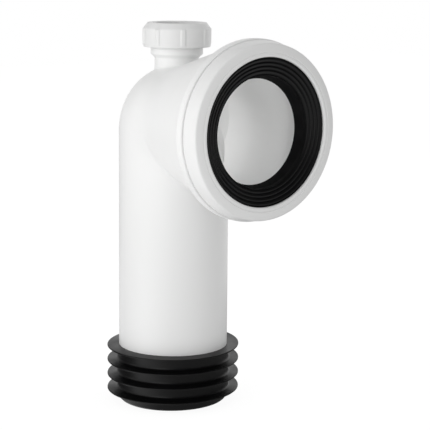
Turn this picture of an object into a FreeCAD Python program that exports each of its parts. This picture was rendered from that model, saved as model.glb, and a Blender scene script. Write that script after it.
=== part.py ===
"""Toilet pan connector: a 90 degree bend with a flared pan socket, a finned outlet seal and a vent boss.

Millimetres. The origin is the centre of the outlet end, +Z is up along the spigot and the pan socket
faces -Y. The part is symmetrical about the plane X = 0, apart from the turn of the nut's ribs.
"""
import FreeCAD, Part

import os
import re

import Sketcher

doc = FreeCAD.newDocument("pan_connector")

# Driving sizes. Lengths in mm, angles in degrees.
SIZES = {
    # plain pipe and bend
    "pipe_radius": 45.0,
    "pipe_wall": 3.5,
    "axis_height": 235.2,
    "bend_radius": 10.0,
    "crease_round": 5.0,
    # flared pan socket, from the bend to its nose
    "socket_straight": 10.0,
    "flare_length": 75.0,
    "socket_bore": 62.6,
    "flare_wall": 3.8,
    "socket_wall": 3.0,
    "collar_ramp": 3.5,
    "collar_length": 6.5,
    "collar_step": 4.8,
    "collar_round": 1.5,
    "collar_chamfer": 0.6,
    # retaining ring
    "ring_length": 15.3,
    "ring_clearance": 0.2,
    "ring_wall": 3.8,
    "ring_taper": 2.2,
    "ring_lip": 3.2,
    "lip_reach": 8.3,
    "ring_bevel_width": 3.0,
    "ring_bevel_depth": 0.8,
    "ring_round": 3.6,
    "ring_back_chamfer": 0.7,
    # pan seal
    "rim_thickness": 4.0,
    "rim_clearance": 0.3,
    "bead_depth": 1.9,
    "dish_depth": 4.1,
    "throat_radius": 43.4,
    "throat_land": 4.0,
    "sleeve_step": 2.5,
    "sleeve_land": 1.8,
    "sleeve_taper": 5.7,
    "sleeve_wall": 1.8,
    "membrane_wall": 3.0,
    "ridge_height": 1.0,
    "ridge_margin": 0.7,
    # outlet seal
    "lip_thickness": 2.2,
    "lip_inset": 0.2,
    "seat_depth": 1.8,
    "seat_clearance": 0.15,
    "hub_step": 1.2,
    "lead_step": 1.5,
    "lead_height": 7.0,
    "lead_round": 1.3,
    "fin_reach": 8.55,
    "fin_pitch": 11.88,
    "fin_first": 10.31,
    "fin_tip": 1.0,
    "fin_root": 1.9,
    "fin_droop": 0.75,
    # vent boss on top of the bend
    "boss_offset": 3.4,
    "waste_bore": 18.4,
    "stop_step": 3.1,
    "neck_rise": 4.8,
    "neck_step": 3.2,
    "neck_round": 2.0,
    "shoulder_taper": 2.9,
    "shoulder_wall": 2.8,
    "shoulder_height": 6.7,
    "thread_wall": 4.0,
    "thread_length": 9.9,
    "thread_chamfer": 0.8,
    "mouth_cone": 2.3,
    # compression nut and what it clamps
    "nut_skirt": 1.1,
    "nut_wall": 4.6,
    "nut_ceiling": 3.0,
    "nut_bevel_width": 3.4,
    "nut_bevel_height": 4.5,
    "nut_hole_step": 0.2,
    "nut_hole_chamfer": 0.8,
    "nut_edge_round": 2.0,
    "nut_base_round": 1.8,
    "nut_mouth_chamfer": 0.6,
    "thread_clearance": 0.3,
    "rib_width": 5.4,
    "rib_crest": 1.4,
    "rib_height": 0.8,
    "rib_lift": 1.6,
    "rib_angle": 19.5,
    "washer_thickness": 1.8,
    "washer_clearance": 0.4,
    "packing_height": 3.7,
    "packing_clearance": 0.2,
}

# Counts of what repeats.
FIN_COUNT = 4
RIDGE_COUNT = 4
RIB_COUNT = 8

# Sizes that follow from those, as expressions. Radii and heights of the pipe and its outlet end.
BORE_RADIUS = "(pipe_radius - pipe_wall)"
BEND_TOP = "(axis_height - bend_radius)"
SEAT_RADIUS = "(pipe_radius - seat_depth)"
HUB_RADIUS = "(pipe_radius + hub_step)"
SEAL_TOP = f"(fin_first + fin_pitch * {FIN_COUNT - 1} + fin_droop)"

# Socket and ring, as radii and as distances from the pipe's axis.
NOSE_RADIUS = "(socket_bore + socket_wall)"
FLARE_START = "(bend_radius + socket_straight)"
FLARE_END = f"({FLARE_START} + flare_length)"
COLLAR_RADIUS = f"({NOSE_RADIUS} + collar_step)"
COLLAR_BACK = f"({FLARE_END} + collar_ramp)"
COLLAR_FRONT = f"({COLLAR_BACK} + collar_length)"
RING_BORE = f"({NOSE_RADIUS} + ring_clearance)"
RING_BACK_RADIUS = f"({RING_BORE} + ring_wall)"
RING_FRONT_RADIUS = f"({RING_BACK_RADIUS} - ring_taper)"
RING_OPENING = f"({NOSE_RADIUS} - lip_reach)"
RING_FRONT = f"({COLLAR_FRONT} + ring_length)"
LIP_BACK = f"({RING_FRONT} - ring_lip)"
NOSE_FRONT = f"({LIP_BACK} - rim_thickness)"
BEAD_RADIUS = f"({RING_OPENING} - rim_clearance)"
THROAT_FRONT = f"({RING_FRONT} - bead_depth - dish_depth)"

# Boss and nut, as radii and as heights on the boss's axis.
NECK_TOP = "(axis_height + pipe_radius + neck_rise)"
SHOULDER_BASE = f"({NECK_TOP} + shoulder_taper)"
THREAD_START = f"({SHOULDER_BASE} + shoulder_height)"
MOUTH = f"({THREAD_START} + thread_length)"
SHOULDER_RADIUS = "(waste_bore + shoulder_wall)"
NECK_RADIUS = f"({SHOULDER_RADIUS} - neck_step)"
THREAD_RADIUS = "(waste_bore + thread_wall)"
NUT_BASE = f"({THREAD_START} - nut_skirt)"
CEILING = "(nut_skirt + thread_length + packing_height + washer_thickness)"
NUT_HEIGHT = f"({CEILING} + nut_ceiling)"
NUT_BORE = f"({THREAD_RADIUS} + thread_clearance)"
NUT_RADIUS = f"({NUT_BORE} + nut_wall)"


def make_sheet():
    """One row a size: its name in column A, its value and alias in column B."""
    sheet = doc.addObject("Spreadsheet::Sheet", "size")
    for row, (name, value) in enumerate(SIZES.items(), start=1):
        sheet.set(f"A{row}", name)
        sheet.set(f"B{row}", str(value))
        sheet.setAlias(f"B{row}", name)
    doc.recompute()
    return sheet


sizes = make_sheet()


def linked(text):
    """The expression with each size's name pointing at the sheet."""
    return re.sub(r"[a-z]+(_[a-z]+)+", lambda found: "size." + found.group(0), text)


def value_of(text):
    """The number that an expression of sizes gives now."""
    return float(sizes.evalExpression(text))


def make_body(label, along=None, height=None):
    """A body with its label, set at a height on the socket's axis or on the boss's axis."""
    body = doc.addObject("PartDesign::Body", label)
    body.Label = label
    if along == "socket":
        turn = FreeCAD.Rotation(FreeCAD.Vector(1, 0, 0), 90)
        body.Placement = FreeCAD.Placement(FreeCAD.Vector(), turn)
    if along == "boss":
        body.setExpression("Placement.Base.y", linked("-boss_offset"))
    if height:
        body.setExpression("Placement.Base.z", linked(height))
    return body


def make_sketch(body, name, role):
    """A sketch on one of the body's own origin planes."""
    sketch = body.newObject("Sketcher::SketchObject", name)
    plane = [item for item in body.Origin.OriginFeatures if item.Role == role][0]
    sketch.AttachmentSupport = [(plane, "")]
    sketch.MapMode = "FlatFace"
    return sketch


def fix_point(sketch, element, corner, across, up):
    """Hold one end of a line or arc at two expressions from the sketch's origin."""
    for kind, text in (("DistanceX", across), ("DistanceY", up)):
        index = sketch.addConstraint(Sketcher.Constraint(kind, -1, 1, element, corner, value_of(text)))
        sketch.setExpression(f"Constraints[{index}]", linked(text))


def draw_outline(sketch, corners):
    """A closed outline of straight lines through (across, up) pairs of expressions."""
    points = [FreeCAD.Vector(value_of(across), value_of(up), 0) for across, up in corners]
    last = len(points)
    for index in range(last):
        sketch.addGeometry(Part.LineSegment(points[index], points[(index + 1) % last]), False)
    for index in range(last):
        sketch.addConstraint(Sketcher.Constraint("Coincident", index, 2, (index + 1) % last, 1))
    for index, (across, up) in enumerate(corners):
        fix_point(sketch, index, 1, across, up)


def turn_profile(body, name, sketch, axis="V_Axis", angle=360.0, cut=False):
    """Revolve a sketch about one of its own axes, adding or cutting."""
    kind = "PartDesign::Groove" if cut else "PartDesign::Revolution"
    feature = body.newObject(kind, name)
    feature.Profile = (sketch, [""])
    feature.ReferenceAxis = (sketch, [axis])
    feature.Angle = angle
    doc.recompute()
    return feature


def turned_piece(body, name, corners):
    """Revolve an outline of (radius, height) about the body's own Z axis."""
    sketch = make_sketch(body, name + "_outline", "XZ_Plane")
    draw_outline(sketch, corners)
    return turn_profile(body, name, sketch)


def round_edges(body, name, radius, chosen):
    """Fillet the edges of the body's tip that the test picks."""
    base = body.Tip
    edges = [f"Edge{number}" for number, edge in enumerate(base.Shape.Edges, start=1) if chosen(edge)]
    feature = body.newObject("PartDesign::Fillet", name)
    feature.Base = (base, edges)
    feature.setExpression("Radius", linked(radius))
    doc.recompute()
    return feature


def is_circle(across, depth, radius):
    """A flat circle of the given radius, from its box's width and thickness."""
    return abs(across - 2 * value_of(radius)) < 0.01 and depth < 0.01


def at_level(found, wanted):
    """A distance that agrees with the expression."""
    return abs(found - value_of(wanted)) < 0.01


# Bend body: spigot, tight bend, flared socket and boss, in one moulding.

def heel_sketch(body, name, radius):
    """The slice of the pipe's round section that lies outside the bend's centre line."""
    sketch = make_sketch(body, name, "XY_Plane")
    sketch.setExpression("AttachmentOffset.Base.y", linked("-bend_radius"))
    sketch.setExpression("AttachmentOffset.Base.z", linked(BEND_TOP))
    size = value_of(radius)
    rise = value_of("bend_radius")
    half = (size ** 2 - rise ** 2) ** 0.5
    right = FreeCAD.Vector(half, 0, 0)
    left = FreeCAD.Vector(-half, 0, 0)
    top = FreeCAD.Vector(0, rise + size, 0)
    sketch.addGeometry(Part.Arc(right, top, left), False)
    sketch.addGeometry(Part.LineSegment(left, right), False)
    sketch.addConstraint(Sketcher.Constraint("Coincident", 0, 2, 1, 1))
    sketch.addConstraint(Sketcher.Constraint("Coincident", 1, 2, 0, 1))
    sketch.addConstraint(Sketcher.Constraint("PointOnObject", 1, 1, -1))
    sketch.addConstraint(Sketcher.Constraint("PointOnObject", 1, 2, -1))
    sketch.addConstraint(Sketcher.Constraint("PointOnObject", 0, 3, -2))
    index = sketch.addConstraint(Sketcher.Constraint("DistanceY", -1, 1, 0, 3, rise))
    sketch.setExpression(f"Constraints[{index}]", linked("bend_radius"))
    index = sketch.addConstraint(Sketcher.Constraint("Radius", 0, size))
    sketch.setExpression(f"Constraints[{index}]", linked(radius))
    return sketch


def socket_sketch(body, name, corners):
    """An outline of (distance from the pipe's axis, radius) about the socket's axis."""
    sketch = make_sketch(body, name, "YZ_Plane")
    turned = FreeCAD.Rotation(FreeCAD.Vector(0, 1, 0), 180)
    sketch.AttachmentOffset = FreeCAD.Placement(FreeCAD.Vector(), turned)
    sketch.setExpression("AttachmentOffset.Base.y", linked("axis_height"))
    draw_outline(sketch, corners)
    return sketch


def boss_sketch(body, name, corners):
    """An outline of (radius, height) about the boss's axis."""
    sketch = make_sketch(body, name, "XZ_Plane")
    sketch.setExpression("AttachmentOffset.Base.z", linked("boss_offset"))
    draw_outline(sketch, corners)
    return sketch


def is_crease(edge):
    """The curve under the socket, where the flare meets the front of the spigot."""
    box = edge.BoundBox
    below_axis = box.ZMax < value_of("axis_height")
    return below_axis and box.ZLength > 1.0 and box.XLength > value_of("pipe_radius")


def is_neck_root(edge):
    """The pieces of the curve where the neck of the boss meets the bend."""
    box = edge.BoundBox
    above_axis = box.ZMin > value_of("axis_height") and box.ZLength > 0.01
    middle = value_of(NECK_RADIUS) * 1.01
    return (above_axis and box.XMax < middle and box.XMin > -middle
            and box.ZMax < value_of(NECK_TOP) and box.YMax < middle)


def is_collar_back(edge):
    """The back edge of the socket's collar."""
    box = edge.BoundBox
    return is_circle(box.XLength, box.YLength, COLLAR_RADIUS) and at_level(-box.YMin, COLLAR_BACK)


def make_bend_body():
    body = make_body("bend_body")

    # outer form: the spigot is stepped in at its lower end for the outlet seal
    spigot = make_sketch(body, "spigot_outline", "XZ_Plane")
    draw_outline(spigot, [
        ("0", "lip_thickness"),
        (SEAT_RADIUS, "lip_thickness"),
        (SEAT_RADIUS, SEAL_TOP),
        ("pipe_radius", SEAL_TOP),
        ("pipe_radius", BEND_TOP),
        ("0", BEND_TOP),
    ])
    turn_profile(body, "spigot", spigot)

    heel = heel_sketch(body, "heel_outline", "pipe_radius")
    turn_profile(body, "heel", heel, "H_Axis", 90.0)

    socket = socket_sketch(body, "socket_outline", [
        ("bend_radius", "0"),
        ("bend_radius", "pipe_radius"),
        (FLARE_START, "pipe_radius"),
        (FLARE_END, "socket_bore + flare_wall"),
        (COLLAR_BACK, COLLAR_RADIUS),
        (f"{COLLAR_FRONT} - collar_chamfer", COLLAR_RADIUS),
        (COLLAR_FRONT, f"{COLLAR_RADIUS} - collar_chamfer"),
        (COLLAR_FRONT, NOSE_RADIUS),
        (NOSE_FRONT, NOSE_RADIUS),
        (NOSE_FRONT, "0"),
    ])
    turn_profile(body, "socket", socket, "H_Axis")

    boss = boss_sketch(body, "boss_outline", [
        ("0", "axis_height"),
        (NECK_RADIUS, "axis_height"),
        (NECK_RADIUS, NECK_TOP),
        (SHOULDER_RADIUS, SHOULDER_BASE),
        (SHOULDER_RADIUS, THREAD_START),
        (THREAD_RADIUS, THREAD_START),
        (THREAD_RADIUS, f"{MOUTH} - thread_chamfer"),
        (f"{THREAD_RADIUS} - thread_chamfer", MOUTH),
        ("0", MOUTH),
    ])
    turn_profile(body, "boss", boss)

    # soft creases, where the moulding has them
    round_edges(body, "crease_fillet", "crease_round", is_crease)
    round_edges(body, "neck_fillet", "neck_round", is_neck_root)
    round_edges(body, "collar_fillet", "collar_round", is_collar_back)

    # way through
    bore = make_sketch(body, "bore_outline", "XZ_Plane")
    draw_outline(bore, [("0", "0"), (BORE_RADIUS, "0"), (BORE_RADIUS, BEND_TOP), ("0", BEND_TOP)])
    turn_profile(body, "bore", bore, cut=True)

    hollow_heel = heel_sketch(body, "hollow_heel_outline", BORE_RADIUS)
    turn_profile(body, "hollow_heel", hollow_heel, "H_Axis", 90.0, cut=True)

    hollow_socket = socket_sketch(body, "hollow_socket_outline", [
        ("bend_radius", "0"),
        ("bend_radius", BORE_RADIUS),
        (FLARE_START, BORE_RADIUS),
        (FLARE_END, "socket_bore"),
        (NOSE_FRONT, "socket_bore"),
        (NOSE_FRONT, "0"),
    ])
    turn_profile(body, "hollow_socket", hollow_socket, "H_Axis", cut=True)

    # pipe socket in the boss: a stop at the shoulder and a cone at the mouth for the packing
    waste_way = boss_sketch(body, "waste_way_outline", [
        ("0", "axis_height"),
        ("waste_bore - stop_step", "axis_height"),
        ("waste_bore - stop_step", SHOULDER_BASE),
        ("waste_bore", SHOULDER_BASE),
        ("waste_bore", f"{MOUTH} - mouth_cone"),
        ("waste_bore + mouth_cone", MOUTH),
        ("0", MOUTH),
    ])
    turn_profile(body, "waste_way", waste_way, cut=True)
    return body


# Retaining ring: a cap over the socket's nose, its back edge against the collar.

def is_ring_front(edge):
    """The outer edge of the ring's front, in the ring's own frame."""
    box = edge.BoundBox
    return is_circle(box.XLength, box.ZLength, RING_FRONT_RADIUS) and at_level(box.ZMin, RING_FRONT)


def make_retaining_ring():
    body = make_body("retaining_ring", "socket", "axis_height")
    turned_piece(body, "ring", [
        (RING_BORE, COLLAR_FRONT),
        (f"{RING_BACK_RADIUS} - ring_back_chamfer", COLLAR_FRONT),
        (RING_BACK_RADIUS, f"{COLLAR_FRONT} + ring_back_chamfer"),
        (RING_FRONT_RADIUS, RING_FRONT),
        (f"{RING_OPENING} + ring_bevel_width", RING_FRONT),
        (RING_OPENING, f"{RING_FRONT} - ring_bevel_depth"),
        (RING_OPENING, LIP_BACK),
        (RING_BORE, LIP_BACK),
    ])
    round_edges(body, "front_round", "ring_round", is_ring_front)
    return body


# Pan seal: a clamped rim, a dished front with round ridges, a throat and a tapered sleeve.

def dished(radius):
    """Distance of the seal's dished front at a radius."""
    fall = f"({BEAD_RADIUS} - ({radius})) / ({BEAD_RADIUS} - throat_radius)"
    return f"{RING_FRONT} - bead_depth - dish_depth * {fall}"


def make_inlet_seal():
    body = make_body("inlet_seal", "socket", "axis_height")
    rim = f"{RING_BORE} - rim_clearance"
    pitch = f"({BEAD_RADIUS} - throat_radius - 2 * ridge_margin) / {RIDGE_COUNT}"
    taper_front = f"{THROAT_FRONT} - throat_land"
    taper_back = f"{taper_front} - sleeve_taper"
    sleeve_back = f"{taper_back} - sleeve_land"
    corners = [
        ("socket_bore - rim_clearance", NOSE_FRONT),
        (rim, NOSE_FRONT),
        (rim, LIP_BACK),
        (BEAD_RADIUS, LIP_BACK),
        (BEAD_RADIUS, f"{RING_FRONT} - bead_depth"),
    ]
    for number in range(RIDGE_COUNT + 1):
        valley = f"{BEAD_RADIUS} - ridge_margin - {pitch} * {number}"
        crest = f"{valley} - {pitch} / 2"
        corners.append((valley, f"{dished(valley)} - ridge_height"))
        if number < RIDGE_COUNT:
            corners.append((crest, dished(crest)))
    corners += [
        ("throat_radius", THROAT_FRONT),
        ("throat_radius", taper_front),
        ("throat_radius - sleeve_step", taper_back),
        ("throat_radius - sleeve_step", sleeve_back),
        ("throat_radius - sleeve_step + sleeve_wall", sleeve_back),
        ("throat_radius - sleeve_step + sleeve_wall", taper_back),
        ("throat_radius + sleeve_wall", taper_front),
        ("throat_radius + membrane_wall", f"{THROAT_FRONT} - membrane_wall"),
    ]
    turned_piece(body, "seal", corners)
    return body


# Outlet seal: a sleeve on the stepped end of the spigot, with thin drooping fins and a lip under the end.

def make_outlet_seal():
    body = make_body("outlet_seal")
    inner = f"{SEAT_RADIUS} + seat_clearance"
    lead = f"{HUB_RADIUS} - lead_step"
    corners = [
        (f"{BORE_RADIUS} + lip_inset", "0"),
        (f"{lead} - lead_round", "0"),
        (lead, "lead_round"),
        (lead, "lead_height"),
        (HUB_RADIUS, "lead_height"),
    ]
    for number in range(FIN_COUNT):
        tip_top = f"fin_first + fin_pitch * {number}"
        root_top = f"{tip_top} + fin_droop"
        corners += [
            (HUB_RADIUS, f"{root_top} - fin_root"),
            (f"{HUB_RADIUS} + fin_reach", f"{tip_top} - fin_tip"),
            (f"{HUB_RADIUS} + fin_reach", tip_top),
        ]
        if number < FIN_COUNT - 1:
            corners.append((HUB_RADIUS, root_top))
    corners += [
        ("pipe_radius", SEAL_TOP),
        (inner, SEAL_TOP),
        (inner, "lip_thickness"),
        (f"{BORE_RADIUS} + lip_inset", "lip_thickness"),
    ]
    turned_piece(body, "finned_sleeve", corners)
    return body


# Compression nut: a turned cap with a bevelled top and straight, sloped ribs for the hand.

def is_nut_bevel_edge(edge):
    """The edge between the nut's outer wall and its bevel, in the nut's own frame."""
    box = edge.BoundBox
    on_wall = is_circle(box.XLength, box.ZLength, NUT_RADIUS)
    return on_wall and at_level(box.ZMin, f"{NUT_HEIGHT} - nut_bevel_height")


def is_nut_base_edge(edge):
    """The outer edge of the nut's lower end, in the nut's own frame."""
    box = edge.BoundBox
    return is_circle(box.XLength, box.ZLength, NUT_RADIUS) and at_level(box.ZMin, "0")


def make_compression_nut():
    body = make_body("compression_nut", "boss", NUT_BASE)
    hole = "waste_bore + nut_hole_step"
    turned_piece(body, "cap", [
        (f"{NUT_BORE} + nut_mouth_chamfer", "0"),
        (NUT_RADIUS, "0"),
        (NUT_RADIUS, f"{NUT_HEIGHT} - nut_bevel_height"),
        (f"{NUT_RADIUS} - nut_bevel_width", NUT_HEIGHT),
        (f"{hole} + nut_hole_chamfer", NUT_HEIGHT),
        (hole, f"{NUT_HEIGHT} - nut_hole_chamfer"),
        (hole, CEILING),
        (NUT_BORE, CEILING),
        (NUT_BORE, "nut_mouth_chamfer"),
    ])
    round_edges(body, "bevel_round", "nut_edge_round", is_nut_bevel_edge)
    round_edges(body, "base_round", "nut_base_round", is_nut_base_edge)

    outline = make_sketch(body, "rib_outline", "XY_Plane")
    root = f"{NUT_BORE} + nut_wall / 2"
    foot = f"{NUT_RADIUS} - (rib_width / 2) ^ 2 / (2 * {NUT_RADIUS})"
    crest = f"{NUT_RADIUS} + rib_height"
    draw_outline(outline, [
        (root, "-rib_width / 2"),
        (foot, "-rib_width / 2"),
        (crest, "-rib_crest / 2"),
        (crest, "rib_crest / 2"),
        (foot, "rib_width / 2"),
        (root, "rib_width / 2"),
    ])
    outline.setExpression("AttachmentOffset.Base.z", linked("rib_lift"))
    outline.setExpression("AttachmentOffset.Rotation.Angle", linked("rib_angle"))
    rib = body.newObject("PartDesign::Pad", "rib")
    rib.Profile = outline
    rib.setExpression("Length", linked(f"{NUT_HEIGHT} - nut_bevel_height - rib_lift"))
    doc.recompute()

    ribs = body.newObject("PartDesign::PolarPattern", "ribs")
    ribs.Originals = [rib]
    ribs.Axis = (outline, ["N_Axis"])
    ribs.Angle = 360.0
    ribs.Occurrences = RIB_COUNT
    body.Tip = ribs
    doc.recompute()
    return body


# Slip washer and rubber packing, between the nut's ceiling and the mouth of the boss.

def make_slip_washer():
    body = make_body("slip_washer", "boss", f"{MOUTH} + packing_height")
    outer = f"{NUT_BORE} - washer_clearance"
    turned_piece(body, "washer", [
        ("waste_bore", "0"),
        (outer, "0"),
        (outer, "washer_thickness"),
        ("waste_bore", "washer_thickness"),
    ])
    return body


def make_compression_seal():
    body = make_body("compression_seal", "boss", MOUTH)
    outer = f"{THREAD_RADIUS} - thread_chamfer"
    turned_piece(body, "packing", [
        ("waste_bore", "packing_clearance - mouth_cone"),
        ("waste_bore + mouth_cone - packing_clearance", "0"),
        (outer, "0"),
        (outer, "packing_height"),
        ("waste_bore", "packing_height"),
    ])
    return body


PIECES = [
    make_bend_body(),
    make_retaining_ring(),
    make_inlet_seal(),
    make_outlet_seal(),
    make_compression_nut(),
    make_slip_washer(),
    make_compression_seal(),
]

doc.recompute()
for item in doc.Objects:
    if "Invalid" in item.State or "Error" in item.State:
        raise RuntimeError(f"{item.Label}: {item.State}")
for piece in PIECES:
    if piece.Shape.isNull() or not piece.Shape.isValid() or len(piece.Shape.Solids) != 1:
        raise RuntimeError(f"{piece.Label} isn't one valid solid")

os.makedirs("parts", exist_ok=True)
for piece in PIECES:
    piece.Shape.exportStep(f"parts/{piece.Label}.step")
    box = piece.Shape.BoundBox
    print(piece.Label, round(piece.Shape.Volume), [round(v, 2) for v in
          (box.XMin, box.YMin, box.ZMin, box.XMax, box.YMax, box.ZMax)])
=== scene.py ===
"""Toilet pan connector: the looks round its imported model.

The scene is in metres, and the dimensions and outlines of the pieces are in millimetres. The origin is the
centre of the outlet end, +Z is up along the spigot and the pan socket faces -Y.
"""

import math

import bmesh
import bpy
from mathutils import Matrix, Quaternion, Vector


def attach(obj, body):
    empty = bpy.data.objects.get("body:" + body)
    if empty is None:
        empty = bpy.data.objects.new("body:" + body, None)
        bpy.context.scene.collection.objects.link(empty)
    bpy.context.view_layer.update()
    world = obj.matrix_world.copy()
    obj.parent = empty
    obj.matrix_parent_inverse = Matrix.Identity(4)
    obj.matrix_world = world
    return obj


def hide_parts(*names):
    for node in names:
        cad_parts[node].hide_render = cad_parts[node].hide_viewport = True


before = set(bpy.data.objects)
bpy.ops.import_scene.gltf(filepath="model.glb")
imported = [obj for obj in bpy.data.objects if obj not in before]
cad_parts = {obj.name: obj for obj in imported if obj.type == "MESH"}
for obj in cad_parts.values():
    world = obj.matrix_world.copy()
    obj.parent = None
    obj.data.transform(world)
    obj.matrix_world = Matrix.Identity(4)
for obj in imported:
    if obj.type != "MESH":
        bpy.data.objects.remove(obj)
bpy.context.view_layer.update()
scene = bpy.context.scene


# Camera: a long lens a little above the socket, turned to the connector's left.
# It stands where perspective makes the rings and the fins as open as in the photograph.

LENS_MM = 131.146
SENSOR_MM = 36.0
CAMERA_PLACE = Vector((-0.751243, -1.028019, 0.379588))
CAMERA_TURN = math.radians(-37.695)
CAMERA_RISE = math.radians(10.004)
CAMERA_ROLL = math.radians(0.560)

camera_back = Vector((
    math.sin(CAMERA_TURN) * math.cos(CAMERA_RISE),
    -math.cos(CAMERA_TURN) * math.cos(CAMERA_RISE),
    math.sin(CAMERA_RISE),
))
camera = bpy.data.objects.new("camera", bpy.data.cameras.new("camera"))
camera.data.lens = LENS_MM
camera.data.sensor_width = SENSOR_MM
camera.rotation_mode = "QUATERNION"
camera.rotation_quaternion = Quaternion(camera_back, CAMERA_ROLL) @ (-camera_back).to_track_quat("-Z", "Y")
camera.location = CAMERA_PLACE
scene.collection.objects.link(camera)
scene.camera = camera
scene.view_settings.view_transform = "Standard"


# Studio surround: a pale room that lights every side alike. It is seen as plain white. Shiny surfaces see
# it as white behind the connector, a little more to the right, and dim everywhere else.

ROOM_LIGHT = 0.60
ROOM_SHEEN = 0.10
BACKDROP_TURN = CAMERA_TURN + math.radians(166.0)
BACKDROP_EDGE = 0.66
BACKDROP_SOFT = 0.86
PURE_WHITE = (1.0, 1.0, 1.0, 1.0)


def add_node(tree, kind, inputs=None, **settings):
    """A node with its settings. Each input is given a value or another node's output."""
    node = tree.nodes.new(kind)
    for name, value in settings.items():
        setattr(node, name, value)
    for name, value in (inputs or {}).items():
        if isinstance(value, bpy.types.NodeSocket):
            tree.links.new(value, node.inputs[name])
        else:
            node.inputs[name].default_value = value
    return node


def add_math(tree, operation, *values, clamp=False):
    """The output of a maths node on one to three values or outputs."""
    node = add_node(tree, "ShaderNodeMath", dict(enumerate(values)), operation=operation, use_clamp=clamp)
    return node.outputs[0]


def add_vector(tree, operation, *values, result="Vector"):
    """An output of a vector maths node on one or two values or outputs."""
    node = add_node(tree, "ShaderNodeVectorMath", dict(enumerate(values)), operation=operation)
    return node.outputs[result]


def add_range(tree, value, start=0.0, end=1.0, low=0.0, high=1.0, kind="LINEAR"):
    """A number that goes from low to high and no further, as the value goes from its start to its end."""
    node = add_node(tree, "ShaderNodeMapRange", {
        "Value": value,
        "From Min": start,
        "From Max": end,
        "To Min": low,
        "To Max": high,
    }, interpolation_type=kind)
    return node.outputs[0]


world = bpy.data.worlds.new("pale_room")
world.use_nodes = True
tree = world.node_tree
tree.nodes.clear()
path = add_node(tree, "ShaderNodeLightPath").outputs
looking = add_node(tree, "ShaderNodeTexCoord").outputs["Generated"]
behind = (math.sin(BACKDROP_TURN), -math.cos(BACKDROP_TURN), 0.0)
facing = add_vector(tree, "DOT_PRODUCT", looking, behind, result="Value")
backdrop = add_range(tree, facing, BACKDROP_EDGE, BACKDROP_SOFT, low=ROOM_SHEEN)
shiny = add_math(tree, "MAXIMUM", path["Is Glossy Ray"], path["Is Transmission Ray"])
to_shine = add_range(tree, shiny, low=ROOM_LIGHT, high=backdrop)
to_camera = add_range(tree, path["Is Camera Ray"], low=to_shine)
room = add_node(tree, "ShaderNodeBackground", {"Color": PURE_WHITE, "Strength": to_camera})
add_node(tree, "ShaderNodeOutputWorld", {"Surface": room.outputs[0]})
scene.world = world


# Studio floor: a wide pale sheet just under the outlet seal. It is seen as white where light falls on it
# freely, and keeps a soft shadow at the foot of the connector. It throws more light back on the left.
# Shiny surfaces see it bright under the key panel, dimmer round to the right and dark behind on the left.

FLOOR_RADIUS = 3.0
FLOOR_LEVEL = -0.0003
FLOOR_COLOUR = (0.86, 0.86, 0.86, 1.0)
FLOOR_GLOW = 1.085
FLOOR_GLOW_SHARE = 0.86
FLOOR_LIFT = 0.70
FLOOR_LIFT_TILT = 0.50
FLOOR_LIFT_SHARE = 0.5
SHEEN_START = math.radians(244.0)
SHEEN_HIGH = 2.0
SHEEN_STEPS = (
    # degrees past the start, share of the highest sheen
    (0.0, 0.0),
    (16.0, 0.95),
    (34.0, 0.85),
    (62.0, 0.28),
    (130.0, 0.19),
    (180.0, 0.08),
    (225.0, 0.02),
    (270.0, 0.02),
    (284.0, 0.34),
    (304.0, 0.34),
    (316.0, 0.0),
)
SHEEN_CENTRE = (-0.075, 0.13, 0.0)
SHEEN_NEAR = 0.40
SHEEN_FAR = 0.56
FAR_DIM = 0.20
FAR_DIM_START = math.radians(250.0)
FAR_DIM_END = math.radians(285.0)

floor_mesh = bpy.data.meshes.new("floor")
floor_mesh.from_pydata(
    [(x * FLOOR_RADIUS, y * FLOOR_RADIUS, FLOOR_LEVEL) for x, y in ((-1, -1), (1, -1), (1, 1), (-1, 1))],
    [], [(0, 1, 2, 3)],
)
floor = bpy.data.objects.new("floor", floor_mesh)
scene.collection.objects.link(floor)

floor_finish = bpy.data.materials.new("pale_floor")
floor_finish.use_nodes = True
tree = floor_finish.node_tree
tree.nodes.clear()
path = add_node(tree, "ShaderNodeLightPath").outputs
shiny = add_math(tree, "MAXIMUM", path["Is Glossy Ray"], path["Is Transmission Ray"])
seen = add_math(tree, "MAXIMUM", shiny, path["Is Camera Ray"])

# what shiny surfaces see, by the bearing of each spot and its distance
spot = add_node(tree, "ShaderNodeNewGeometry").outputs["Position"]
east, north, _ = add_node(tree, "ShaderNodeSeparateXYZ", {0: spot}).outputs
bearing = add_math(tree, "ARCTAN2", east, add_math(tree, "MULTIPLY", north, -1.0))
past = add_math(tree, "FLOORED_MODULO", add_math(tree, "SUBTRACT", bearing, SHEEN_START), math.tau)
sector = add_node(tree, "ShaderNodeValToRGB", {"Fac": add_math(tree, "DIVIDE", past, math.tau)})
stops = sector.color_ramp.elements
for index, (degrees, share) in enumerate(SHEEN_STEPS):
    turned_by = degrees / 360.0
    stop = stops[index] if index < 2 else stops.new(turned_by)
    stop.position = turned_by
    stop.color = (share, share, share, 1.0)
close = add_math(tree, "MULTIPLY", sector.outputs["Color"], SHEEN_HIGH)
far = add_range(tree, past, FAR_DIM_START, FAR_DIM_END, low=FLOOR_GLOW, high=FAR_DIM)
away = add_vector(tree, "DISTANCE", spot, SHEEN_CENTRE, result="Value")
sheen = add_range(tree, away, SHEEN_NEAR, SHEEN_FAR, low=close, high=far)

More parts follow.
